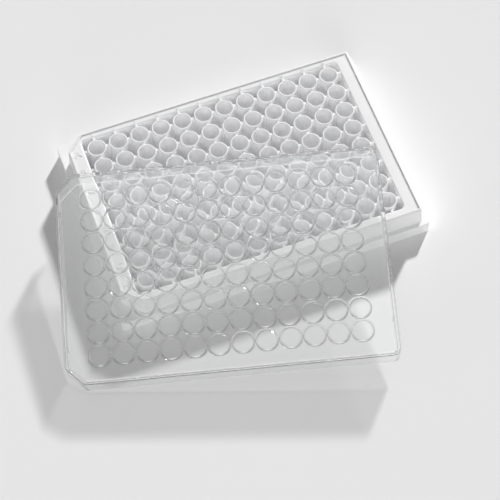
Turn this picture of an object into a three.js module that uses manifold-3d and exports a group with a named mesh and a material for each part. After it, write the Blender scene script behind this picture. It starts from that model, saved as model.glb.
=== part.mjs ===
// A 96-well microplate with its lid, the lid taken off and left leaning on the plate.
// Millimetres, +Z up. The plate is a white polystyrene moulding: a skirt with a stacking flange,
// a drafted body with a raised lip, and 96 tubes held in a recess by a lattice of webs. The lid is
// a clear polystyrene moulding with a ring round each well on its underside.

import * as THREE from 'three';
import { mergeVertices } from 'three/addons/utils/BufferGeometryUtils.js';
import Module from 'manifold-3d';

const wasm = await Module();
wasm.setup();

// Well grid
const PITCH = 9;
const COLUMNS = 12;
const ROWS = 8;

// Plate, heights above the bench
const PLATE_HEIGHT = 14.4;
const FLANGE_HEIGHT = 6.15;
const DECK_UNDERSIDE = 2.3;
const DECK_THICKNESS = 1.2;

// Plate, tubes and the webs between them
const WELL_MOUTH = 6.6;
const WELL_BASE = 6.3;
const WELL_SIDES = 8;
const TUBE_WALL = 0.55;
const WEB_THICKNESS = 1;
const WEB_DROP = 0.4;

// Plate, rim and skirt
const RECESS_MARGIN = 5.1;
const RIM_ENDS = 6.3;
const RIM_SIDES = 3.6;
const RIM_DROP = 0.3;
const LIP_WIDTH = 0.55;
const LIP_RISE = 0.15;
const BODY_DRAFT = 0.35;
const BODY_CHAMFER = 7;
const BODY_CORNER = 1.3;
const FLANGE_ENDS = 2.98;
const FLANGE_SIDES = 2.54;
const FLANGE_CORNER = 1.5;
const PLATE_WALL = 1.2;

// Lid
const LID_CLEARANCE = 0.95;
const LID_WALL = 1.15;
const LID_TOP = 1;
const LID_CORNER = 3;
const LID_HEADROOM = 0.15;
const RING_CLEARANCE = 0.1;
const RING_WIDTH = 0.6;
const RING_HEIGHT = 0.35;
const RING_SIDES = 8;
const SPACER_WIDTH = 1.2;
const SPACER_DEPTH = 0.45;
const SPACER_SETBACK = 3;
const SPACER_COLUMNS = 4;
const SPACER_ROWS = 3;

// Where the lid has been left: its centre over the plate's, its turn, and the gap at its contacts
const LID_X = -20.3;
const LID_Y = -37.9;
const LID_TURN = -15.27;
const REST_GAP = 0.3;

// Sizes that follow from those above
const TUBE_RADIUS = WELL_MOUTH / 2 + TUBE_WALL;
const DECK_TOP = DECK_UNDERSIDE + DECK_THICKNESS;
const WEB_TOP = PLATE_HEIGHT - WEB_DROP;
const RIM_TOP = PLATE_HEIGHT - RIM_DROP;
const LIP_TOP = PLATE_HEIGHT + LIP_RISE;
const RECESS = {
  x: ((COLUMNS - 1) * PITCH) / 2 + RECESS_MARGIN,
  y: ((ROWS - 1) * PITCH) / 2 + RECESS_MARGIN,
};
const BODY = { x: RECESS.x + RIM_ENDS, y: RECESS.y + RIM_SIDES };
const FOOT = { x: BODY.x + FLANGE_ENDS, y: BODY.y + FLANGE_SIDES };
const LID_INSIDE = grow(BODY, LID_CLEARANCE);
const LID_OUTSIDE = grow(LID_INSIDE, LID_WALL);
const SKIRT_DEPTH = LIP_TOP + LID_HEADROOM - FLANGE_HEIGHT;
const RING_RADIUS = TUBE_RADIUS + RING_CLEARANCE;

// How far a cut runs on past the open end of what it hollows
const OPEN_END = 1;

const UP = new THREE.Vector3(0, 0, 1);

/** Half sizes of a rectangle moved outwards, or inwards where the distance is negative. */
function grow(half, distance) {
  return { x: half.x + distance, y: half.y + distance };
}

/** Leg of a 45 degree chamfer once its outline has moved outwards by a distance. */
function growChamfer(leg, distance) {
  return leg + (2 - Math.SQRT2) * distance;
}

/** Rectangle with four rounded corners. */
function roundedOutline(half, radius) {
  const shape = new THREE.Shape();
  shape.absarc(half.x - radius, half.y - radius, radius, 0, Math.PI / 2);
  shape.absarc(radius - half.x, half.y - radius, radius, Math.PI / 2, Math.PI);
  shape.absarc(radius - half.x, radius - half.y, radius, Math.PI, 1.5 * Math.PI);
  shape.absarc(half.x - radius, radius - half.y, radius, 1.5 * Math.PI, 2 * Math.PI);
  return shape;
}

/** Rectangle with its two left corners chamfered and its two right corners rounded. */
function keyedOutline(half, chamfer, radius) {
  const shape = new THREE.Shape();
  shape.absarc(half.x - radius, half.y - radius, radius, 0, Math.PI / 2);
  shape.lineTo(chamfer - half.x, half.y);
  shape.lineTo(-half.x, half.y - chamfer);
  shape.lineTo(-half.x, chamfer - half.y);
  shape.lineTo(chamfer - half.x, -half.y);
  shape.absarc(half.x - radius, radius - half.y, radius, 1.5 * Math.PI, 2 * Math.PI);
  return shape;
}

/** Straight prism of an outline between two heights. */
function prism(shape, bottom, top) {
  const settings = { depth: top - bottom, bevelEnabled: false, curveSegments: 3 };
  const geometry = new THREE.ExtrudeGeometry(shape, settings);
  return geometry.translate(0, 0, bottom);
}

/** Draws the top of a prism in towards the middle, the same distance on every side. */
function draft(geometry, distance) {
  geometry.computeBoundingBox();
  const middle = (geometry.boundingBox.min.z + geometry.boundingBox.max.z) / 2;
  const corners = geometry.getAttribute('position');
  for (let i = 0; i < corners.count; i += 1) {
    if (corners.getZ(i) > middle) {
      corners.setX(i, corners.getX(i) - Math.sign(corners.getX(i)) * distance);
      corners.setY(i, corners.getY(i) - Math.sign(corners.getY(i)) * distance);
    }
  }
  return geometry;
}

/** Closed geometry as a solid that can be joined and cut. */
function solid(geometry) {
  const bare = geometry.clone();
  bare.deleteAttribute('normal');
  bare.deleteAttribute('uv');
  const merged = mergeVertices(bare, 1e-4);
  return new wasm.Manifold(
    new wasm.Mesh({
      numProp: 3,
      vertProperties: new Float32Array(merged.getAttribute('position').array),
      triVerts: new Uint32Array(merged.index.array),
    }),
  );
}

/** Solid as a three.js geometry with flat faces. */
function geometryOf(body) {
  const mesh = body.getMesh();
  const geometry = new THREE.BufferGeometry();
  geometry.setAttribute('position', new THREE.BufferAttribute(mesh.vertProperties, 3));
  geometry.setIndex(new THREE.BufferAttribute(mesh.triVerts, 1));
  return geometry.toNonIndexed();
}

/** One solid joined from many. */
function join(solids) {
  return solids.reduce((whole, piece) => whole.add(piece));
}

/** Distance of a grid line from the middle of the grid. */
function gridLine(index, count) {
  return (index - (count - 1) / 2) * PITCH;
}

/** One copy of a geometry at every well, joined. */
function atEveryWell(geometry) {
  const copies = [];
  for (let row = 0; row < ROWS; row += 1) {
    for (let column = 0; column < COLUMNS; column += 1) {
      const copy = geometry.clone().translate(gridLine(column, COLUMNS), gridLine(row, ROWS), 0);
      copies.push(solid(copy));
    }
  }
  return join(copies);
}

/** Outline of a tube: a flat as wide as a web faces each neighbour, with a corner between flats. */
function tubeOutline() {
  const half = WEB_THICKNESS / 2;
  const flat = Math.sqrt(TUBE_RADIUS ** 2 - half ** 2);
  const diagonal = TUBE_RADIUS * Math.SQRT1_2;
  const points = [];
  for (const [x, y] of [[1, 0], [0, 1], [-1, 0], [0, -1]]) {
    points.push(new THREE.Vector2(x * flat + y * half, y * flat - x * half));
    points.push(new THREE.Vector2(x * flat - y * half, y * flat + x * half));
    points.push(new THREE.Vector2((x - y) * diagonal, (x + y) * diagonal));
  }
  return new THREE.Shape(points);
}

/** Webs along every row and every column, from one wall of the recess to the other. */
function webs() {
  const height = WEB_TOP - DECK_UNDERSIDE;
  const middle = (WEB_TOP + DECK_UNDERSIDE) / 2;
  const reach = PLATE_WALL / 2;
  const walls = [];
  for (let row = 0; row < ROWS; row += 1) {
    const wall = new THREE.BoxGeometry(2 * (RECESS.x + reach), WEB_THICKNESS, height);
    walls.push(solid(wall.translate(0, gridLine(row, ROWS), middle)));
  }
  for (let column = 0; column < COLUMNS; column += 1) {
    const wall = new THREE.BoxGeometry(WEB_THICKNESS, 2 * (RECESS.y + reach), height);
    walls.push(solid(wall.translate(gridLine(column, COLUMNS), 0, middle)));
  }
  return join(walls);
}

/** Hollow of one well: a slightly tapered bore with a flat floor, open past the top of its tube. */
function wellBore() {
  const depth = PLATE_HEIGHT - DECK_TOP;
  const taper = (WELL_MOUTH - WELL_BASE) / 2 / depth;
  const length = depth + OPEN_END;
  const radius = WELL_BASE / 2 + taper * length;
  const bore = new THREE.CylinderGeometry(radius, WELL_BASE / 2, length, WELL_SIDES);
  bore.rotateX(Math.PI / 2);
  bore.rotateZ(Math.PI / WELL_SIDES);
  return bore.translate(0, 0, DECK_TOP + length / 2);
}

/** Outer form of the plate: flange, drafted body and the raised lip round the rim. */
function plateShell() {
  const flange = solid(prism(roundedOutline(FOOT, FLANGE_CORNER), 0, FLANGE_HEIGHT));
  const foot = grow(BODY, BODY_DRAFT);
  const bodyOutline = keyedOutline(foot, BODY_CHAMFER, BODY_CORNER);
  const body = solid(draft(prism(bodyOutline, DECK_UNDERSIDE, LIP_TOP), BODY_DRAFT));
  const floor = grow(BODY, -LIP_WIDTH);
  const floorOutline = keyedOutline(floor, growChamfer(BODY_CHAMFER, -LIP_WIDTH), BODY_CORNER / 2);
  const overRim = solid(prism(floorOutline, RIM_TOP, LIP_TOP + OPEN_END));
  return flange.add(body).subtract(overRim);
}

/** Hollow underside: one wall's thickness is left under the rim, the flange and the recess. */
function plateHollow() {
  const wallOutline = roundedOutline(grow(RECESS, PLATE_WALL), FLANGE_CORNER);
  const recessWall = prism(wallOutline, -2 * OPEN_END, PLATE_HEIGHT);
  const inFlange = grow(FOOT, -PLATE_WALL);
  const flangeOutline = roundedOutline(inFlange, FLANGE_CORNER - PLATE_WALL / 2);
  const underFlange = solid(prism(flangeOutline, -OPEN_END, FLANGE_HEIGHT - PLATE_WALL));
  const inBody = grow(BODY, BODY_DRAFT - PLATE_WALL);
  const bodyOutline = keyedOutline(inBody, growChamfer(BODY_CHAMFER, -PLATE_WALL), BODY_CORNER / 2);
  const channel = solid(draft(prism(bodyOutline, -OPEN_END, RIM_TOP - PLATE_WALL), BODY_DRAFT));
  const underDeck = solid(prism(flangeOutline, -OPEN_END, DECK_UNDERSIDE));
  return underFlange.add(channel).subtract(solid(recessWall)).add(underDeck);
}

/** The plate, its footprint centred on the origin and its skirt on z = 0. */
function plateBody() {
  const recess = solid(prism(roundedOutline(RECESS, FLANGE_CORNER), DECK_TOP, LIP_TOP + OPEN_END));
  const tubes = atEveryWell(prism(tubeOutline(), DECK_UNDERSIDE, PLATE_HEIGHT));
  const bores = atEveryWell(wellBore());
  return plateShell().subtract(plateHollow()).subtract(recess).add(webs()).add(tubes).subtract(bores);
}

/** Ring with a V section that hangs from the underside of the lid round one well. */
function lidRing() {
  const inner = RING_RADIUS;
  const outer = RING_RADIUS + RING_WIDTH;
  const root = LID_TOP / 2;
  const section = [
    new THREE.Vector2(inner, root),
    new THREE.Vector2(inner, 0),
    new THREE.Vector2((inner + outer) / 2, -RING_HEIGHT),
    new THREE.Vector2(outer, 0),
    new THREE.Vector2(outer, root),
    new THREE.Vector2(inner, root),
  ];
  const ring = new THREE.LatheGeometry(section, RING_SIDES);
  ring.rotateX(Math.PI / 2);
  return ring.rotateZ(Math.PI / RING_SIDES);
}

/** Short ribs on the inside of the skirt that centre the lid on the plate. */
function lidSpacers() {
  const bottom = SPACER_SETBACK - SKIRT_DEPTH;
  const height = LID_TOP / 2 - bottom;
  const depth = SPACER_DEPTH + LID_WALL / 2;
  const spacers = [];
  for (const side of [-1, 1]) {
    for (const end of [-1, 1]) {
      const along = new THREE.BoxGeometry(SPACER_WIDTH, depth, height);
      const across = new THREE.BoxGeometry(depth, SPACER_WIDTH, height);
      const middle = bottom + height / 2;
      const inset = SPACER_DEPTH - depth / 2;
      along.translate(end * SPACER_COLUMNS * PITCH, side * (LID_INSIDE.y - inset), middle);
      across.translate(end * (LID_INSIDE.x - inset), side * SPACER_ROWS * PITCH, middle);
      spacers.push(solid(along), solid(across));
    }
  }
  return join(spacers);
}

/** The lid, the middle of its underside on the origin and its skirt pointing down. */
function lidBody() {
  const outline = keyedOutline(LID_OUTSIDE, BODY_CHAMFER, LID_CORNER);
  const block = solid(prism(outline, -SKIRT_DEPTH, LID_TOP));
  const inner = keyedOutline(
    LID_INSIDE,
    growChamfer(BODY_CHAMFER, -LID_WALL),
    LID_CORNER - LID_WALL,
  );
  const hollow = solid(prism(inner, -SKIRT_DEPTH - OPEN_END, 0));
  return block.subtract(hollow).add(lidSpacers()).add(atEveryWell(lidRing()));
}

/** Placement of the lid whose underside has these slopes and this height at its centre. */
function lidPlacement(slopeX, slopeY, height) {
  const normal = new THREE.Vector3(-slopeX, -slopeY, 1).normalize();
  const tilt = new THREE.Quaternion().setFromUnitVectors(UP, normal);
  const turn = new THREE.Quaternion().setFromAxisAngle(UP, THREE.MathUtils.degToRad(LID_TURN));
  const centre = new THREE.Vector3(LID_X, LID_Y, height);
  return new THREE.Matrix4().compose(centre, tilt.multiply(turn), new THREE.Vector3(1, 1, 1));
}

/** Height at which a straight edge from one end to the other crosses a plane across an axis. */
function crossingHeight(start, end, axis, position) {
  const share = (position - start[axis]) / (end[axis] - start[axis]);
  return start.clone().lerp(end, Math.max(share, 0)).z;
}

/** Clearances of a placed lid: over the bench, the near lip, the left lip and the lip's corner. */
function lidClearances(placement) {
  const at = (x, y, z) => new THREE.Vector3(x, y, z).applyMatrix4(placement);
  const { x: outX, y: outY } = LID_OUTSIDE;
  const { x: inX, y: inY } = LID_INSIDE;
  const foot = at(BODY_CHAMFER - outX, -outY, -SKIRT_DEPTH);
  const rightSkirt = [at(inX, -outY, -SKIRT_DEPTH), at(inX, outY, -SKIRT_DEPTH)];
  const farSkirt = [at(BODY_CHAMFER - outX, inY, -SKIRT_DEPTH), at(outX, inY, -SKIRT_DEPTH)];
  const lipCorner = new THREE.Vector3(BODY_CHAMFER - BODY.x, -BODY.y, LIP_TOP);
  const underLid = lipCorner.applyMatrix4(placement.clone().invert());
  return [
    foot.z,
    crossingHeight(...rightSkirt, 'y', -BODY.y) - LIP_TOP - REST_GAP,
    crossingHeight(...farSkirt, 'x', -BODY.x) - LIP_TOP - REST_GAP,
    -underLid.z - RING_HEIGHT - REST_GAP,
  ];
}

/** Slopes and height that bring three of the lid's clearances to nothing, by Newton's method. */
function solveRest(contacts) {
  const step = 1e-4;
  const state = new THREE.Vector3(0.08, 0.15, PLATE_HEIGHT);
  const measure = (s) => {
    const all = lidClearances(lidPlacement(s.x, s.y, s.z));
    return new THREE.Vector3(...contacts.map((contact) => all[contact]));
  };
  for (let round = 0; round < 20; round += 1) {
    const here = measure(state);
    const columns = [[step, 0, 0], [0, step, 0], [0, 0, step]].map((shift) =>
      measure(state.clone().add(new THREE.Vector3(...shift))).sub(here).divideScalar(step));
    const slope = new THREE.Matrix3().setFromMatrix4(new THREE.Matrix4().makeBasis(...columns));
    state.sub(here.applyMatrix3(slope.invert()));
  }
  return state;
}

/** Placement of the lid at rest: the lowest of those that lie on three contacts and cross none. */
function restingLid() {
  const everyThree = [[0, 1, 2], [0, 1, 3], [0, 2, 3], [1, 2, 3]];
  const rests = everyThree
    .map(solveRest)
    .map((state) => ({ height: state.z, placement: lidPlacement(state.x, state.y, state.z) }))
    .filter(({ placement }) => Math.min(...lidClearances(placement)) > -1e-6);
  rests.sort((one, other) => one.height - other.height);
  return rests[0].placement;
}

const plateMaterial = new THREE.MeshStandardMaterial({
  color: 0xe8eaec,
  roughness: 0.42,
  metalness: 0,
});
const lidMaterial = new THREE.MeshStandardMaterial({
  color: 0xdfe4e8,
  roughness: 0.08,
  metalness: 0,
  transparent: true,
  opacity: 0.35,
});

const plate = new THREE.Mesh(geometryOf(plateBody()), plateMaterial);
plate.name = 'plate';

const lid = new THREE.Mesh(geometryOf(lidBody()), lidMaterial);
lid.name = 'lid';

const lidRest = new THREE.Group();
lidRest.applyMatrix4(restingLid());
lidRest.add(lid);

// The whole stands on z = 0 with the middle of its box over the origin.
const wellPlate = new THREE.Group();
wellPlate.name = 'well_plate';
wellPlate.add(plate, lidRest);
const box = new THREE.Box3().setFromObject(wellPlate, true);
const middle = box.getCenter(new THREE.Vector3());
wellPlate.position.set(-middle.x, -middle.y, -box.min.z);
wellPlate.updateMatrixWorld(true);

export default wellPlate;
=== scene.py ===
"""A 96-well plate of white polystyrene, its clear lid taken off and left leaning on it.

Both mouldings are built in millimetres in frames of their own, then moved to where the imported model
has them. The plate's frame is the middle of its footprint on the bench, the lid's is the middle of
its underside.
"""

import logging
import math
from dataclasses import dataclass, field, replace
from enum import Enum
from typing import Sequence

import bmesh
import bpy
import numpy as np
from mathutils import Matrix, Vector


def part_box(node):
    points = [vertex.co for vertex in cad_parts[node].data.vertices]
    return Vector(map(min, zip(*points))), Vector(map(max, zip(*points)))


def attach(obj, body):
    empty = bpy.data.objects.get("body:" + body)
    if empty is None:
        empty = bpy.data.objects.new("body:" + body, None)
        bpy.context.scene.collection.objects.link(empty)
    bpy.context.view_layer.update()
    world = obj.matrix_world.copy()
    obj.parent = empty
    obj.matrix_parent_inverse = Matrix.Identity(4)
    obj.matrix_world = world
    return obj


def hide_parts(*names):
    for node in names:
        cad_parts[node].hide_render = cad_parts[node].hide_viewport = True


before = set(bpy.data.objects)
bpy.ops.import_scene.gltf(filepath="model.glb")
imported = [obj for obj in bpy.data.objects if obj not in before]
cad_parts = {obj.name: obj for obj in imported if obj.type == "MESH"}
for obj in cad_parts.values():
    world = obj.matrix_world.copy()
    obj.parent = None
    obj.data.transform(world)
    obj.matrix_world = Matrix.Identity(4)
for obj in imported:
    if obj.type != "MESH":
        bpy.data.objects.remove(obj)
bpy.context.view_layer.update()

MM = 0.001
LEAST_RADIUS = 0.05  # of an outline's corners, in millimetres
WELD = 1e-4  # points nearer than this are one, in millimetres
CREASE = 40.0  # an edge that turns by more degrees stays sharp
LARGE_FACES = 80  # how far large faces outweigh small ones in a normal, where 50 is even
NOISE_RANGE = (0.3, 0.7)  # where nearly all of a noise texture's values lie
WHITE = "#FFFFFF"
logging.basicConfig(level=logging.INFO, format="%(message)s")
log = logging.getLogger("well_plate")

Section = tuple["Outline", float]
Ring = list[Vector]
Socket = bpy.types.NodeSocket


# ---------------------------------------------------------------------------------------------
# Mesh tools
# ---------------------------------------------------------------------------------------------


class CornerForm(Enum):
    """How a corner of an outline is cut."""

    ROUND = "round"
    CHAMFERED = "chamfered"


@dataclass(frozen=True)
class Outline:
    """Rectangle in plan whose two left corners may be chamfered.

    Every outline with the same stops has the same number of points, so that any two can be joined
    by a wall.
    """

    half_x: float
    half_y: float
    radius: float
    chamfer: float = 0.0
    stops_x: tuple[float, ...] = ()
    stops_y: tuple[float, ...] = ()
    steps: int = 7

    def grown(self, by: float) -> "Outline":
        """Returns the outline moved outwards by a distance on every side."""
        leg = self.chamfer + (2 - math.sqrt(2)) * by if self.chamfer else 0.0
        return replace(
            self,
            half_x=self.half_x + by,
            half_y=self.half_y + by,
            radius=max(self.radius + by, LEAST_RADIUS),
            chamfer=leg,
        )

    def _arc(self, corner: Vector, start: float, turn: float, steps: int) -> list[Vector]:
        """Rounds one corner.

        Args:
            corner: The sharp corner in plan.
            start: Direction in which the outline faces before the corner, in degrees.
            turn: How far the outline turns there, in degrees.
            steps: Straight pieces in the arc.

        Returns:
            The points of the arc, anticlockwise.
        """
        middle = math.radians(start + turn / 2)
        inward = self.radius / math.cos(math.radians(turn / 2))
        centre = corner - inward * Vector((math.cos(middle), math.sin(middle)))
        angles = [math.radians(start + turn * i / steps) for i in range(steps + 1)]
        return [centre + self.radius * Vector((math.cos(a), math.sin(a))) for a in angles]

    def _corner(self, quarter: int) -> list[Vector]:
        """Cuts one corner in its form.

        Args:
            quarter: Which corner, counted anticlockwise from the far right one.

        Returns:
            The points of the corner, anticlockwise.
        """
        x = self.half_x if quarter in (0, 3) else -self.half_x
        y = self.half_y if quarter in (0, 1) else -self.half_y
        form = CornerForm.CHAMFERED if self.chamfer and x < 0 else CornerForm.ROUND
        start = 90.0 * quarter
        if form is CornerForm.ROUND:
            return self._arc(Vector((x, y)), start, 90.0, self.steps)
        along_x = Vector((x + self.chamfer, y))
        along_y = Vector((x, y - math.copysign(self.chamfer, y)))
        first, second = (along_x, along_y) if y > 0 else (along_y, along_x)
        half = self.steps // 2
        return self._arc(first, start, 45.0, half) + self._arc(second, start + 45.0, 45.0, half)

    def points(self) -> list[Vector]:
        """Goes once round the outline.

        Returns:
            The points of the corners and the stops between them, anticlockwise.
        """
        far = [Vector((x, self.half_y)) for x in sorted(self.stops_x, reverse=True)]
        left = [Vector((-self.half_x, y)) for y in sorted(self.stops_y, reverse=True)]
        near = [Vector((x, -self.half_y)) for x in sorted(self.stops_x)]
        right = [Vector((self.half_x, y)) for y in sorted(self.stops_y)]
        corners = [self._corner(quarter) for quarter in range(4)]
        return corners[0] + far + corners[1] + left + corners[2] + near + corners[3] + right


def quarter_turn(steps: int = 3) -> list[float]:
    """Returns the angles that divide a right angle into equal steps."""
    return [math.pi / 2 * i / steps for i in range(steps + 1)]


def quarter_round(
    outline: Outline, height: float, radius: float, outwards: bool, steps: int = 3
) -> list[Section]:
    """Returns sections that round a top edge of a wall.

    Args:
        outline: The wall below the edge.
        height: Height of the flat that the edge ends in.
        radius: Radius of the edge.
        outwards: Whether the flat lies outside the wall, as where a hole opens, or inside it.
        steps: Straight pieces in the arc.

    Returns:
        Sections from the wall up to the flat.
    """
    side = 1.0 if outwards else -1.0
    return [
        (outline.grown(side * radius * (1 - math.cos(a))), height - radius * (1 - math.sin(a)))
        for a in quarter_turn(steps)
    ]


def levels(sections: Sequence[Section]) -> list[Ring]:
    """Returns the ring of points of each outline at its height."""
    return [
        [Vector((p.x, p.y, height)) for p in outline.points()] for outline, height in sections
    ]


def circle(radius: float, height: float, steps: int) -> Ring:
    """Returns a ring of points round Z."""
    angles = [2 * math.pi * i / steps for i in range(steps)]
    return [Vector((radius * math.cos(a), radius * math.sin(a), height)) for a in angles]


def loft(
    bm: bmesh.types.BMesh, rings: Sequence[Ring], first_cap: bool, last_cap: bool
) -> list[bmesh.types.BMVert]:
    """Extrudes a ring of edges from place to place.

    Args:
        bm: Mesh that takes the walls.
        rings: Rings of as many points each, in order along the surface.
        first_cap: Whether a face closes the first ring.
        last_cap: Whether a face closes the last ring.

    Returns:
        The vertices of the first ring, in order.
    """
    ring = [bm.verts.new(point) for point in rings[0]]
    edges = [bm.edges.new(pair) for pair in zip(ring, ring[1:] + ring[:1])]
    first = list(ring)
    if first_cap:
        bm.faces.new(ring)
    for points in rings[1:]:
        made = bmesh.ops.extrude_edge_only(bm, edges=edges)["geom"]
        fresh = {g for g in made if isinstance(g, bmesh.types.BMVert)}
        follows = {e.other_vert(v): v for v in fresh for e in v.link_edges}
        ring = [follows[v] for v in ring]
        for vertex, point in zip(ring, points):
            vertex.co = point
        edges = [
            g for g in made if isinstance(g, bmesh.types.BMEdge) and fresh.issuperset(g.verts)
        ]
    if last_cap:
        bm.faces.new(ring)
    return first


def as_mesh(name: str, bm: bmesh.types.BMesh) -> bpy.types.Mesh:
    """Turns a bmesh into a mesh.

    Args:
        name: Name of the mesh.
        bm: The bmesh, which this frees.

    Returns:
        The mesh.
    """
    mesh = bpy.data.meshes.new(name)
    bm.to_mesh(mesh)
    bm.free()
    return mesh


def spun(profile: Sequence[tuple[float, float]], steps: int) -> bpy.types.Mesh:
    """Spins a profile round Z into a closed shell.

    Args:
        profile: Radii and heights, both ends on Z.
        steps: Flat pieces all round.

    Returns:
        The shell, its faces pointing outwards.
    """
    bm = bmesh.new()
    line = [bm.verts.new((radius, 0.0, height)) for radius, height in profile]
    edges = [bm.edges.new(pair) for pair in zip(line, line[1:])]
    bmesh.ops.spin(
        bm, geom=line + edges, cent=(0, 0, 0), axis=(0, 0, 1), angle=2 * math.pi, steps=steps,
        use_merge=True,
    )
    bmesh.ops.remove_doubles(bm, verts=bm.verts, dist=WELD)
    bmesh.ops.recalc_face_normals(bm, faces=bm.faces)
    return as_mesh("spun", bm)


def scatter(bm: bmesh.types.BMesh, shape: bpy.types.Mesh, places: Sequence[Matrix]) -> None:
    """Adds one copy of a shape at each place.

    Args:
        bm: Mesh that takes the copies.
        shape: The shape, which this removes.
        places: Where the copies go.
    """
    for place in places:
        copy = shape.copy()
        copy.transform(place)
        bm.from_mesh(copy)
        bpy.data.meshes.remove(copy)
    bpy.data.meshes.remove(shape)


def finished(name: str, bm: bmesh.types.BMesh, place: Matrix) -> bpy.types.Object:
    """Makes a piece of a mesh in millimetres.

    Args:
        name: Name of the piece.
        bm: Its mesh in its own frame, which this frees.
        place: Where its frame lies in the model, in metres.

    Returns:
        The piece, its place in its mesh, with its flat faces shaded flat up to their edges.
    """
    mesh = as_mesh(name, bm)
    mesh.transform(place @ Matrix.Scale(MM, 4))
    mesh.shade_smooth()
    mesh.set_sharp_from_angle(angle=math.radians(CREASE))
    piece = bpy.data.objects.new(name, mesh)
    bpy.context.scene.collection.objects.link(piece)
    weights = piece.modifiers.new("flat_faces", "WEIGHTED_NORMAL")
    weights.mode = "FACE_AREA"
    weights.weight = LARGE_FACES
    weights.keep_sharp = True
    return piece


def footprint_frame(node: str) -> Matrix:
    """Returns the frame at the middle of a node's footprint, level with its lowest point."""
    low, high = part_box(node)
    return Matrix.Translation(((low.x + high.x) / 2, (low.y + high.y) / 2, low.z))


def leaning_frame(node: bpy.types.Object, below_top: float) -> Matrix:
    """Finds the frame of a leaning lid from the ways its faces point.

    A lid's top outweighs its long walls, and those outweigh its short ones, so the axes of its
    faces, weighed by area, are its own up, width and length.

    Args:
        node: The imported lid.
        below_top: Distance of the frame's origin below the lid's flat top, in metres.

    Returns:
        The frame, its X along the lid, its Z up out of the top, in the middle in plan.
    """
    mesh = node.data
    normals = np.empty(3 * len(mesh.polygons), np.float32)
    areas = np.empty(len(mesh.polygons), np.float32)
    mesh.polygons.foreach_get("normal", normals)
    mesh.polygons.foreach_get("area", areas)
    normals = normals.reshape(-1, 3).astype(float)
    _, axes = np.linalg.eigh(normals.T @ (normals * areas[:, None]))
    length = axes[:, 0] * math.copysign(1.0, axes[0, 0])
    up = axes[:, 2] * math.copysign(1.0, axes[2, 2])
    width = np.cross(up, length)
    basis = np.stack([length, width, up], axis=1)
    corners = np.array([v.co for v in mesh.vertices]) @ basis
    low, high = corners.min(axis=0), corners.max(axis=0)
    origin = basis @ np.array([(low[0] + high[0]) / 2, (low[1] + high[1]) / 2, high[2] - below_top])
    return Matrix.Translation(origin) @ Matrix(basis.tolist()).to_4x4()


# ---------------------------------------------------------------------------------------------
# Finishes
# ---------------------------------------------------------------------------------------------


def linear(colour: str) -> tuple[float, float, float, float]:
    """Turns a colour into linear values.

    Args:
        colour: The colour as an sRGB hex value.

    Returns:
        Red, green, blue and an opacity of 1.
    """
    parts = [int(colour[i : i + 2], 16) / 255 for i in (1, 3, 5)]
    light = [p / 12.92 if p <= 0.04045 else ((p + 0.055) / 1.055) ** 2.4 for p in parts]
    return (light[0], light[1], light[2], 1.0)


def add_node(
    tree: bpy.types.NodeTree, kind: str, inputs: dict[str | int, object], **options: object
) -> bpy.types.Node:
    """Adds a shader node.

    Args:
        tree: Node tree that takes it.
        kind: Type of node.
        inputs: Constants, or the sockets that feed them, by the input's name or number.
        options: The node's own settings.

    Returns:
        The node.
    """
    made = tree.nodes.new(kind)
    for name, value in options.items():
        setattr(made, name, value)
    for name, value in inputs.items():
        if isinstance(value, Socket):
            tree.links.new(value, made.inputs[name])
        else:
            made.inputs[name].default_value = value
    return made


def new_material(name: str) -> tuple[bpy.types.Material, bpy.types.NodeTree]:
    """Makes a material with an empty node tree.

    Args:
        name: Name of the material.

    Returns:
        The material and its tree.
    """
    material = bpy.data.materials.new(name)
    material.use_nodes = True
    material.node_tree.nodes.clear()
    return material, material.node_tree


@dataclass(frozen=True)
class WhitePolystyrene:
    """Polystyrene filled with titanium dioxide, injection-moulded against a polished tool.

    It reads as a clean opaque white with a soft sheen. The melt's flow leaves the colour and the
    gloss a little uneven over centimetres, and the tool leaves a faint grain.
    """

    name: str = "white_polystyrene_moulded"
    colour: str = "#FFFFFF"
    flow_colour: str = "#FDFDFE"
    ior: float = 1.59
    gloss: tuple[float, float] = (0.34, 0.46)
    flow_size: float = 26 * MM
    patch_size: float = 5 * MM
    grain_size: float = 0.35 * MM
    grain_height: float = 0.004 * MM

    def material(self) -> bpy.types.Material:
        """Makes the finish as a material, once for all pieces.

        Returns:
            The material.
        """
        if self.name in bpy.data.materials:
            return bpy.data.materials[self.name]
        material, tree = new_material(self.name)
        place = add_node(tree, "ShaderNodeTexCoord", {}).outputs["Object"]
        flow, patches, grain = (
            add_node(
                tree, "ShaderNodeTexNoise", {"Vector": place, "Scale": 1 / size, "Detail": detail}
            )
            for size, detail in (
                (self.flow_size, 2.0),
                (self.patch_size, 3.0),
                (self.grain_size, 2.0),
            )
        )
        colour = add_node(
            tree,
            "ShaderNodeMix",
            {0: flow.outputs["Fac"], 6: linear(self.colour), 7: linear(self.flow_colour)},
            data_type="RGBA",
        )
        roughness = add_node(
            tree,
            "ShaderNodeMapRange",
            {
                "Value": patches.outputs["Fac"],
                "From Min": NOISE_RANGE[0],
                "From Max": NOISE_RANGE[1],
                "To Min": self.gloss[0],
                "To Max": self.gloss[1],
            },
        )
        bump = add_node(
            tree,
            "ShaderNodeBump",
            {"Height": grain.outputs["Fac"], "Distance": self.grain_height, "Strength": 1.0},
        )
        surface = add_node(
            tree,
            "ShaderNodeBsdfPrincipled",
            {
                "Base Color": colour.outputs[2],
                "Roughness": roughness.outputs["Result"],
                "Normal": bump.outputs["Normal"],
                "IOR": self.ior,
            },
        )
        add_node(tree, "ShaderNodeOutputMaterial", {"Surface": surface.outputs["BSDF"]})
        return material


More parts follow.
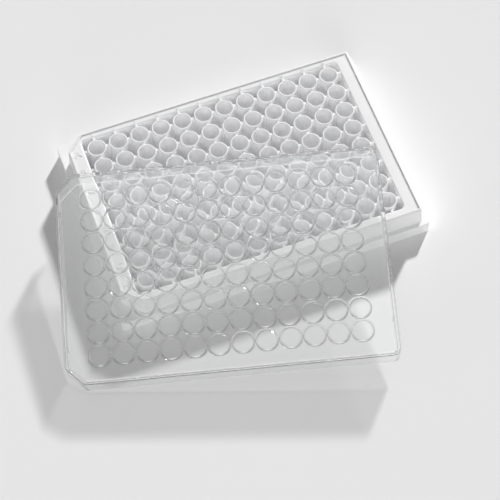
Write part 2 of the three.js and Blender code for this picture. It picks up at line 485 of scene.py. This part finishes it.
@dataclass(frozen=True)
class ClearPolystyrene:
    """Crystal polystyrene, injection-moulded against a mirror-polished tool.

    It bends and mirrors what is round it at its edges and rings and is clear in between, with a
    faintly cool tint. Lamps reach what lies under it, a little dimmed.
    """

    name: str = "clear_polystyrene_moulded"
    colour: str = "#FCFDFD"
    shade_straight: str = "#FBFBFB"
    shade_slanting: str = "#DEDEDE"
    ior: float = 1.59
    gloss: tuple[float, float] = (0.015, 0.04)
    patch_size: float = 8 * MM

    def material(self) -> bpy.types.Material:
        """Makes the finish as a material.

        Returns:
            The material.
        """
        material, tree = new_material(self.name)
        place = add_node(tree, "ShaderNodeTexCoord", {}).outputs["Object"]
        patches = add_node(
            tree,
            "ShaderNodeTexNoise",
            {"Vector": place, "Scale": 1 / self.patch_size, "Detail": 2.0},
        )
        roughness = add_node(
            tree,
            "ShaderNodeMapRange",
            {
                "Value": patches.outputs["Fac"],
                "From Min": NOISE_RANGE[0],
                "From Max": NOISE_RANGE[1],
                "To Min": self.gloss[0],
                "To Max": self.gloss[1],
            },
        )
        glass = add_node(
            tree,
            "ShaderNodeBsdfPrincipled",
            {
                "Base Color": linear(self.colour),
                "Roughness": roughness.outputs["Result"],
                "IOR": self.ior,
                "Transmission Weight": 1.0,
            },
        )
        facing = add_node(tree, "ShaderNodeLayerWeight", {"Blend": 0.5})
        shade = add_node(
            tree,
            "ShaderNodeMix",
            {
                0: facing.outputs["Facing"],
                6: linear(self.shade_straight),
                7: linear(self.shade_slanting),
            },
            data_type="RGBA",
        )
        through = add_node(tree, "ShaderNodeBsdfTransparent", {"Color": shade.outputs[2]})
        rays = add_node(tree, "ShaderNodeLightPath", {})
        lighting = add_node(
            tree,
            "ShaderNodeMath",
            {0: rays.outputs["Is Shadow Ray"], 1: rays.outputs["Is Diffuse Ray"]},
            operation="MAXIMUM",
        )
        surface = add_node(
            tree,
            "ShaderNodeMixShader",
            {
                0: lighting.outputs[0],
                1: glass.outputs["BSDF"],
                2: through.outputs["BSDF"],
            },
        )
        add_node(tree, "ShaderNodeOutputMaterial", {"Surface": surface.outputs["Shader"]})
        return material


@dataclass(frozen=True)
class PaleBench:
    """Matt painted board, which takes a soft shadow and shows no gloss."""

    name: str = "matt_painted_board"
    colour: str = "#FAFAFA"
    patch_colour: str = "#F8F8F8"
    patch_size: float = 90 * MM
    roughness: float = 0.9
    specular: float = 0.1

    def material(self) -> bpy.types.Material:
        """Makes the finish as a material.

        Returns:
            The material.
        """
        material, tree = new_material(self.name)
        place = add_node(tree, "ShaderNodeTexCoord", {}).outputs["Object"]
        patches = add_node(
            tree,
            "ShaderNodeTexNoise",
            {"Vector": place, "Scale": 1 / self.patch_size, "Detail": 1.0},
        )
        colour = add_node(
            tree,
            "ShaderNodeMix",
            {0: patches.outputs["Fac"], 6: linear(self.colour), 7: linear(self.patch_colour)},
            data_type="RGBA",
        )
        surface = add_node(
            tree,
            "ShaderNodeBsdfPrincipled",
            {
                "Base Color": colour.outputs[2],
                "Roughness": self.roughness,
                "Specular IOR Level": self.specular,
            },
        )
        add_node(tree, "ShaderNodeOutputMaterial", {"Surface": surface.outputs["BSDF"]})
        return material


# ---------------------------------------------------------------------------------------------
# The plate and its lid
# ---------------------------------------------------------------------------------------------


@dataclass(frozen=True)
class WellGrid:
    """The square grid of wells, in millimetres."""

    pitch: float = 9.0
    columns: int = 12
    rows: int = 8

    def column(self, index: int) -> float:
        """Returns how far right of the middle a column lies."""
        return (index - (self.columns - 1) / 2) * self.pitch

    def row(self, index: int) -> float:
        """Returns how far beyond the middle a row lies, the first row farthest."""
        return ((self.rows - 1) / 2 - index) * self.pitch

    def places(self) -> list[Matrix]:
        """Returns the place of every well."""
        return [
            Matrix.Translation((self.column(c), self.row(r), 0.0))
            for r in range(self.rows)
            for c in range(self.columns)
        ]


@dataclass
class PlateMoulding:
    """The white plate: skirt, rim, recess, and the tubes and webs in it, in millimetres."""

    grid: WellGrid
    finish: WhitePolystyrene
    foot: Outline = Outline(63.88, 42.74, 1.5)
    body: Outline = Outline(60.9, 40.2, 1.3, 7.0)
    body_foot: Outline = Outline(61.2, 40.95, 1.5, 7.3)
    recess: Outline = Outline(54.6, 36.6, 1.5)
    height: float = 14.4
    flange_height: float = 6.15
    wall: float = 1.2
    rim_drop: float = 0.3
    lip_rise: float = 0.15
    lip_width: float = 0.65
    lip_setback: float = 0.35
    lip_height: float = 0.5
    lip_edge: float = 0.1
    groove_width: float = 0.3
    groove_depth: float = 0.45
    groove_edge: float = 0.06
    groove_draft: float = 0.02
    shoulder: float = 0.02
    ledge_edge: float = 0.2
    foot_fillet: float = 0.12
    recess_edge: float = 0.7
    deck_underside: float = 2.3
    deck_top: float = 3.5
    tube_radius: float = 3.85
    mouth_radius: float = 3.3
    base_radius: float = 3.15
    well_floor: float = 3.62
    well_corner: float = 0.5
    boss_drop: float = 0.4
    boss_setback: float = 0.3
    boss_edge: float = 0.15
    boss_ends: tuple[float, float] = (0.4, 0.6)
    web: float = 1.2
    web_sink: float = 0.3
    web_draft: float = 0.12
    web_drop: float = 0.4
    edge: float = 0.16
    mouth_edge: float = 0.1
    tube_steps: int = 32

    def _underside(self) -> list[Section]:
        """Lays out the underside.

        Returns:
            Sections from below the deck, over the rim's hollow and down to the skirt's foot.
        """
        inside = self.recess.grown(self.wall)
        under_rim = self.height - self.rim_drop - self.wall
        under_flange = self.flange_height - self.wall
        return [
            (inside, self.deck_underside),
            (inside, under_rim),
            (self.body.grown(-self.wall), under_rim),
            (self.body_foot.grown(-self.wall), under_flange),
            (self.foot.grown(-self.wall), under_flange),
            (self.foot.grown(-self.wall), self.edge),
            (self.foot.grown(self.edge - self.wall), 0.0),
        ]

    def _outside(self) -> list[Section]:
        """Lays out the outside.

        Returns:
            Sections from the skirt's foot up over the lip.
        """
        lip_top = self.height + self.lip_rise
        edge, fillet = self.lip_edge, self.foot_fillet
        shoulder = self.body.grown(self.shoulder)
        ledge = quarter_round(self.foot, self.flange_height, self.ledge_edge, outwards=False)
        lip = quarter_round(self.body.grown(-self.lip_setback), lip_top, edge, outwards=False)
        step = quarter_round(shoulder, lip_top - self.lip_height, edge, outwards=False)
        inner = self.body.grown(-self.lip_setback - self.lip_width)
        inner_lip = quarter_round(inner, lip_top, edge, outwards=True)
        return [
            (self.foot.grown(-self.edge), 0.0),
            (self.foot, self.edge),
            *ledge,
            (self.body_foot.grown(fillet), self.flange_height),
            (self.body_foot, self.flange_height + fillet),
            *step,
            *lip,
            *reversed(inner_lip),
        ]

    def _inside(self) -> list[Section]:
        """Lays out the rim and the recess.

        Returns:
            Sections from the groove inside the lip, over the rim and down to the deck.
        """
        rim_top = self.height - self.rim_drop
        floor = self.body.grown(-self.lip_setback - self.lip_width)
        edge = quarter_round(self.recess, rim_top, self.recess_edge, outwards=True, steps=5)
        bottom = rim_top - self.groove_depth
        land_side = floor.grown(-self.groove_width)
        land = quarter_round(land_side, rim_top, self.groove_edge, outwards=False)
        return [
            (floor.grown(-self.groove_draft), bottom),
            (floor.grown(self.groove_draft - self.groove_width), bottom),
            *land,
            *reversed(edge),
            (self.recess, self.deck_top),
        ]

    def _tube(self) -> bpy.types.Mesh:
        """Makes one tube with its floor and the low boss below it.

        Returns:
            The tube, its middle on Z.
        """
        boss = self.deck_underside - self.boss_drop
        rim, edge, corner = self.mouth_edge, self.boss_edge, self.well_corner
        top = self.height
        outer, inner = self.tube_radius, self.mouth_radius
        narrow = outer - self.boss_setback
        ends = [self.deck_underside + rise for rise in self.boss_ends]
        turn = quarter_turn()
        profile = [(0.0, boss), (narrow - edge, boss), (narrow, boss + edge)]
        profile += [(narrow, ends[0]), (outer, ends[1])]
        profile += [(outer - rim + rim * math.cos(a), top - rim + rim * math.sin(a)) for a in turn]
        profile += [(inner + rim - rim * math.sin(a), top - rim + rim * math.cos(a)) for a in turn]
        base, floor = self.base_radius, self.well_floor
        profile += [
            (base - corner + corner * math.cos(a), floor + corner - corner * math.sin(a))
            for a in turn
        ]
        profile += [(0.0, floor)]
        return spun(profile, self.tube_steps)

    def _web(self, start: float, end: float) -> bpy.types.Mesh:
        """Makes one web along X.

        Args:
            start: Where it starts, as a distance from the middle of a tube.
            end: Where it ends, from there too.

        Returns:
            The web, a little thinner and eased at its top edges.
        """
        bottom = (self.deck_underside + self.deck_top) / 2
        top = self.height - self.web_drop
        middle = (top + bottom) / 2
        bm = bmesh.new()
        bmesh.ops.create_cube(bm, size=1.0)
        bmesh.ops.scale(bm, vec=(end - start, self.web, top - bottom), verts=bm.verts)
        bmesh.ops.translate(bm, vec=((start + end) / 2, 0.0, middle), verts=bm.verts)
        upper = [v for v in bm.verts if v.co.z > middle]
        bmesh.ops.scale(bm, vec=(1.0, 1 - self.web_draft, 1.0), verts=upper)
        ridges = [
            e
            for e in bm.edges
            if all(v.co.z > middle for v in e.verts)
            and abs(e.verts[0].co.y - e.verts[1].co.y) < WELD
        ]
        bmesh.ops.bevel(
            bm, geom=ridges, offset=self.edge, segments=2, profile=0.5, material=-1, affect="EDGES"
        )
        bmesh.ops.recalc_face_normals(bm, faces=bm.faces)
        return as_mesh("web", bm)

    def _add_webs(self, bm: bmesh.types.BMesh) -> None:
        """Adds the webs between neighbouring tubes, and from the outer tubes to the recess wall.

        Args:
            bm: Mesh that takes them.
        """
        grid = self.grid
        seat = self.tube_radius - self.web_sink
        across = Matrix.Rotation(math.pi / 2, 4, "Z")
        places = grid.places()
        columns, rows = range(grid.columns), range(grid.rows)
        right_of = [places[r * grid.columns + c] for r in rows for c in columns[:-1]]
        beyond = [places[r * grid.columns + c] @ across for r in rows[1:] for c in columns]
        scatter(bm, self._web(seat, grid.pitch - seat), right_of + beyond)
        reach_x = self.recess.half_x - grid.column(grid.columns - 1) + self.web_sink
        reach_y = self.recess.half_y - grid.row(0) + self.web_sink
        back = Matrix.Rotation(math.pi, 4, "Z")
        ends = [places[r * grid.columns + grid.columns - 1] for r in rows]
        ends += [places[r * grid.columns] @ back for r in rows]
        sides = [places[c] @ across for c in columns]
        sides += [places[(grid.rows - 1) * grid.columns + c] @ across @ back for c in columns]
        scatter(bm, self._web(seat, reach_x), ends)
        scatter(bm, self._web(seat, reach_y), sides)

    def build(self) -> bpy.types.Object:
        """Builds the plate and dresses it.

        Returns:
            The plate as one piece.
        """
        bm = bmesh.new()
        sections = self._underside() + self._outside() + self._inside()
        loft(bm, levels(sections), first_cap=True, last_cap=True)
        bmesh.ops.recalc_face_normals(bm, faces=bm.faces)
        scatter(bm, self._tube(), self.grid.places())
        self._add_webs(bm)
        piece = finished("plate_moulding", bm, footprint_frame("plate"))
        piece.data.materials.append(self.finish.material())
        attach(piece, "root")
        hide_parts("plate")
        return piece


@dataclass
class RimMarks:
    """Raised row letters and column numbers on the plate's rim, in millimetres."""

    grid: WellGrid
    finish: WhitePolystyrene
    letter_x: float = -57.45
    letter_height: float = 3.0
    number_y: float = 38.1
    number_height: float = 1.15
    letters: str = "ABCDEFGH"
    base: float = 14.04
    top: float = 14.32
    boldness: float = 0.015
    curve_steps: int = 3

    def _glyph(self, text: str, height: float) -> bpy.types.Mesh:
        """Makes one mark, standing on the plane Z = 0 and centred on Z.

        Args:
            text: What it says.
            height: Height of its capitals or digits.

        Returns:
            The mark, as thick as it stands proud of its base.
        """
        half = 0.5  # of the thickness, which is 1 until the mark is scaled
        curve = bpy.data.curves.new("mark", "FONT")
        curve.body = text
        curve.extrude = half
        curve.offset = self.boldness
        curve.resolution_u = self.curve_steps
        letter = bpy.data.objects.new("mark", curve)
        bpy.context.scene.collection.objects.link(letter)
        mesh = bpy.data.meshes.new_from_object(
            letter.evaluated_get(bpy.context.evaluated_depsgraph_get())
        )
        bpy.data.objects.remove(letter)
        bpy.data.curves.remove(curve)
        across = [v.co.x for v in mesh.vertices]
        along = [v.co.y for v in mesh.vertices]
        middle_x = (min(across) + max(across)) / 2
        middle_y = (min(along) + max(along)) / 2
        centre = Vector((middle_x, middle_y, -half))
        size = height / (max(along) - min(along))
        scale = Matrix.Diagonal((size, size, self.top - self.base, 1.0))
        mesh.transform(scale @ Matrix.Translation(-centre))
        return mesh

    def build(self) -> bpy.types.Object:
        """Builds the marks and dresses them.

        Returns:
            All the marks as one piece.
        """
        bm = bmesh.new()
        for row in range(self.grid.rows):
            place = Matrix.Translation((self.letter_x, self.grid.row(row), self.base))
            scatter(bm, self._glyph(self.letters[row], self.letter_height), [place])
        for column in range(self.grid.columns):
            place = Matrix.Translation((self.grid.column(column), self.number_y, self.base))
            scatter(bm, self._glyph(str(column + 1), self.number_height), [place])
        bmesh.ops.remove_doubles(bm, verts=bm.verts, dist=WELD)
        bmesh.ops.recalc_face_normals(bm, faces=bm.faces)
        piece = finished("rim_marks", bm, footprint_frame("plate"))
        piece.data.materials.append(self.finish.material())
        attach(piece, "root")
        return piece


@dataclass(frozen=True)
class Spacers:
    """The ribs inside the lid's skirt, two on each side, in millimetres.

    A rib is drawn out of a strip of the skirt's inner face, which the outline's stops leave free.
    """

    side_x: float = 36.0
    end_y: float = 27.0
    width: float = 1.2
    depth: float = 0.45
    above_foot: float = 3.0
    slack: float = 0.05

    def stops(self, middle: float) -> tuple[float, ...]:
        """Returns the edges of the two strips at one distance either side of the middle."""
        near, far = middle - self.width / 2, middle + self.width / 2
        return (-far, -near, near, far)

    def inwards(self, centre: Vector, inside: Outline) -> Vector | None:
        """Finds whether a face of the skirt is a strip that has a rib.

        Args:
            centre: Middle of the face.
            inside: Outline of the skirt's inner face.

        Returns:
            The way in which the rib is drawn out of it, or None where it has none.
        """
        x, y = abs(centre.x), abs(centre.y)
        if abs(x - inside.half_x) < self.slack and abs(y - self.end_y) < self.slack:
            return Vector((-math.copysign(1.0, centre.x), 0.0, 0.0))
        if abs(y - inside.half_y) < self.slack and abs(x - self.side_x) < self.slack:
            return Vector((0.0, -math.copysign(1.0, centre.y), 0.0))
        return None


SPACERS = Spacers()


@dataclass
class LidMoulding:
    """The clear lid: top, skirt, a ring round each well and the spacers, in millimetres.

    A point of the slope's profile says how far out it lies and how far it drops, as shares of the
    slope's width. One of the ring's says how far outside the ring's middle it lies, and its drop.
    """

    grid: WellGrid
    finish: ClearPolystyrene = field(default_factory=ClearPolystyrene)
    spacers: Spacers = SPACERS
    outside: Outline = Outline(
        63.0,
        42.3,
        3.0,
        7.0,
        stops_x=SPACERS.stops(SPACERS.side_x),
        stops_y=SPACERS.stops(SPACERS.end_y),
    )
    wall: float = 1.15
    top: float = 1.0
    skirt: float = 8.55
    fillet: float = 0.5
    brow: float = 0.6
    foot_edge: float = 0.15
    ring_inner: float = 3.84
    ring_outer: float = 4.44
    slope_width: float = 0.46
    slope_profile: tuple[tuple[float, float], ...] = (
        (1.0, 0.0),
        (0.67, 0.053),
        (0.33, 0.133),
        (0.0, 0.24),
    )
    ring_profile: tuple[tuple[float, float], ...] = (
        (0.12, 0.26),
        (0.05, 0.335),
        (-0.03, 0.348),
        (-0.1, 0.34),
        (-0.17, 0.31),
        (-0.26, 0.21),
        (-0.3, 0.073),
        (-0.45, 0.024),
        (-0.6, 0.0),
    )
    ring_steps: int = 40
    ring_gap: float = 0.01
    tile_weld: float = 1e-3

    def _tile(self) -> bpy.types.Mesh:
        """Makes the square of underside round one well, with its rounded ring.

        Returns:
            The square, open at its border, its middle on Z.
        """
        bm = bmesh.new()
        half = self.grid.pitch / 2
        middle = (self.ring_inner + self.ring_outer) / 2
        rays = circle(1.0, 0.0, self.ring_steps)
        border = [half / max(abs(ray.x), abs(ray.y)) for ray in rays]
        square = [reach * ray for ray, reach in zip(rays, border)]
        ridge = []
        for share, drop in self.slope_profile:
            ring = []
            for ray, reach in zip(rays, border):
                room = min(self.slope_width, reach - self.ring_outer - self.ring_gap)
                point = (self.ring_outer + share * room) * ray
                ring.append(point - Vector((0.0, 0.0, drop * room)))
            ridge.append(ring)
        for across, drop in self.ring_profile:
            ridge.append(circle(middle + across, -drop, self.ring_steps))
        loft(bm, [square, *ridge], first_cap=False, last_cap=True)
        bmesh.ops.recalc_face_normals(bm, faces=bm.faces)
        return as_mesh("tile", bm)

    def _sections(self) -> list[Section]:
        """Lays out the skirt and the top.

        Returns:
            Sections from the underside's edge, down the skirt and up over the top.
        """
        inside = self.outside.grown(-self.wall)
        foot = -self.skirt
        edge = self.foot_edge
        fillet = [
            (inside.grown(-self.fillet * (1 - math.sin(a))), -self.fillet * (1 - math.cos(a)))
            for a in quarter_turn()
        ]
        brow = quarter_round(self.outside, self.top, self.brow, outwards=False, steps=4)
        return [
            *fillet,
            (inside, foot + self.spacers.above_foot),
            (inside, foot + edge),
            (inside.grown(edge), foot),
            (self.outside.grown(-edge), foot),
            (self.outside, foot + edge),
            *brow,
        ]

    def _raise_spacers(self, bm: bmesh.types.BMesh) -> None:
        """Draws the spacers out of the skirt's inner face.

        Args:
            bm: The lid's mesh.
        """
        low, high = -self.skirt + self.spacers.above_foot, -self.fillet
        inside = self.outside.grown(-self.wall)
        for face in list(bm.faces):
            centre = face.calc_center_median()
            inwards = self.spacers.inwards(centre, inside)
            if inwards is None or len(face.verts) != 4 or not low < centre.z < high:
                continue
            made = bmesh.ops.extrude_discrete_faces(bm, faces=[face])["faces"]
            moved = list({v for f in made for v in f.verts})
            bmesh.ops.translate(bm, vec=self.spacers.depth * inwards, verts=moved)

    def build(self) -> bpy.types.Object:
        """Builds the lid and dresses it.

        Returns:
            The lid as one piece.
        """
        bm = bmesh.new()
        scatter(bm, self._tile(), self.grid.places())
        bmesh.ops.remove_doubles(bm, verts=bm.verts, dist=self.tile_weld)
        border = [e for e in bm.edges if e.is_boundary]
        rim = loft(bm, levels(self._sections()), first_cap=False, last_cap=True)
        rim_edges = [e for v in rim for e in v.link_edges if e.other_vert(v) in set(rim)]
        bmesh.ops.triangle_fill(
            bm, use_beauty=True, use_dissolve=False, edges=list(set(border + rim_edges))
        )
        self._raise_spacers(bm)
        bmesh.ops.recalc_face_normals(bm, faces=bm.faces)
        place = leaning_frame(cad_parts["lid"], self.top * MM)
        piece = finished("lid_moulding", bm, place)
        piece.data.materials.append(self.finish.material())
        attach(piece, "root")
        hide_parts("lid")
        return piece


# ---------------------------------------------------------------------------------------------
# The studio
# ---------------------------------------------------------------------------------------------


@dataclass(frozen=True)
class Lamp:
    """A far lamp: where it hangs round the plate, how strong it is and how wide it looks."""

    name: str
    azimuth: float
    elevation: float
    strength: float
    spread: float

    def hang(self) -> None:
        """Hangs the lamp. Azimuth 0 is in front of the plate and 90 is at its right."""
        light = bpy.data.lights.new(self.name, "SUN")
        light.energy = self.strength
        light.angle = math.radians(self.spread)
        around, above = math.radians(self.azimuth), math.radians(self.elevation)
        out = math.cos(above)
        towards = Vector((math.sin(around) * out, -math.cos(around) * out, math.sin(above)))
        lamp = bpy.data.objects.new(self.name, light)
        lamp.rotation_euler = (-towards).to_track_quat("-Z", "Y").to_euler()
        bpy.context.scene.collection.objects.link(lamp)


@dataclass
class Studio:
    """Bench, lamps, sky and camera. Lengths are in millimetres, angles in degrees."""

    bench: PaleBench = field(default_factory=PaleBench)
    bench_size: float = 6000.0
    lamps: tuple[Lamp, ...] = (
        Lamp("key", 137.0, 25.8, 3.76, 4.3),
        Lamp("front", -15.0, 18.0, 0.75, 30.0),
        Lamp("front above", -18.0, 44.0, 0.58, 40.0),
        Lamp("left", -100.0, 18.0, 0.2, 30.0),
        Lamp("overhead", 182.0, 80.6, 0.12, 24.0),
    )
    sky_colour: str = WHITE
    sky_strength: float = 0.045
    target: tuple[float, float, float] = (7.307, -0.203, 0.0)
    distance: float = 680.1
    azimuth: float = -18.642
    elevation: float = 61.27
    roll: float = -1.64
    lens: float = 124.14
    film: float = 36.0
    nearest: float = 50.0
    farthest: float = 50000.0
    bounces: int = 24

    def _floor(self) -> None:
        """Lays the bench under the plate."""
        bm = bmesh.new()
        bmesh.ops.create_grid(bm, x_segments=1, y_segments=1, size=self.bench_size / 2 * MM)
        mesh = as_mesh("bench", bm)
        bench = bpy.data.objects.new("bench", mesh)
        bpy.context.scene.collection.objects.link(bench)
        mesh.materials.append(self.bench.material())

    def _sky(self) -> None:
        """Lights the scene evenly, and shows white behind it and in what mirrors it outright.

        What the clear plastic bends into sight is dim, so that its rings have dark outlines.
        """
        world = bpy.data.worlds.new("sky")
        world.use_nodes = True
        tree = world.node_tree
        tree.nodes.clear()
        light = add_node(
            tree,
            "ShaderNodeBackground",
            {"Color": linear(self.sky_colour), "Strength": self.sky_strength},
        )
        shown = add_node(
            tree,
            "ShaderNodeBackground",
            {"Color": linear(WHITE), "Strength": 1.0},
        )
        rays = add_node(tree, "ShaderNodeLightPath", {}).outputs
        depths = {0: rays["Diffuse Depth"], 1: rays["Transmission Depth"]}
        passed = add_node(tree, "ShaderNodeMath", depths, operation="ADD")
        none_yet = {0: passed.outputs[0], 1: 0.5}
        first = add_node(tree, "ShaderNodeMath", none_yet, operation="LESS_THAN")
        glossy = {0: rays["Is Glossy Ray"], 1: first.outputs[0]}
        mirrored = add_node(tree, "ShaderNodeMath", glossy, operation="MULTIPLY")
        outright = {0: rays["Is Camera Ray"], 1: mirrored.outputs[0]}
        seen = add_node(tree, "ShaderNodeMath", outright, operation="MAXIMUM")
        mixed = add_node(
            tree,
            "ShaderNodeMixShader",
            {0: seen.outputs[0], 1: light.outputs[0], 2: shown.outputs[0]},
        )
        add_node(tree, "ShaderNodeOutputWorld", {"Surface": mixed.outputs[0]})
        bpy.context.scene.world = world

    def _camera(self) -> None:
        """Sets up the camera above the near left side."""
        data = bpy.data.cameras.new("camera")
        data.sensor_width = self.film
        data.lens = self.lens
        data.clip_start = self.nearest * MM
        data.clip_end = self.farthest * MM
        camera = bpy.data.objects.new("camera", data)
        turn = (
            Matrix.Rotation(math.radians(self.azimuth), 4, "Z")
            @ Matrix.Rotation(math.radians(90 - self.elevation), 4, "X")
            @ Matrix.Rotation(math.radians(self.roll), 4, "Z")
        )
        back = turn.to_3x3() @ Vector((0, 0, 1))
        place = Vector(self.target) * MM + back * self.distance * MM
        camera.matrix_world = Matrix.Translation(place) @ turn
        bpy.context.scene.collection.objects.link(camera)
        bpy.context.scene.camera = camera

    def build(self) -> None:
        """Sets up everything round the plate.

        Light bounces many times between the white walls of the wells. The clamp is off because the
        glints in the lid's rings come from bright paths that it would dim.
        """
        self._floor()
        for lamp in self.lamps:
            lamp.hang()
        self._sky()
        self._camera()
        scene = bpy.context.scene
        scene.view_settings.view_transform = "Standard"
        scene.cycles.diffuse_bounces = self.bounces
        scene.cycles.max_bounces = self.bounces
        scene.cycles.transparent_max_bounces = self.bounces
        scene.cycles.sample_clamp_indirect = 0.0


def main() -> None:
    """Builds the studio, the plate and the lid."""
    Studio().build()
    log.info("studio: bench, lamps, sky and camera")
    grid = WellGrid()
    white = WhitePolystyrene()
    for moulding in (PlateMoulding(grid, white), RimMarks(grid, white), LidMoulding(grid)):
        piece = moulding.build()
        log.info("%s: %d faces", piece.name, len(piece.data.polygons))


if __name__ == "__main__":
    main()
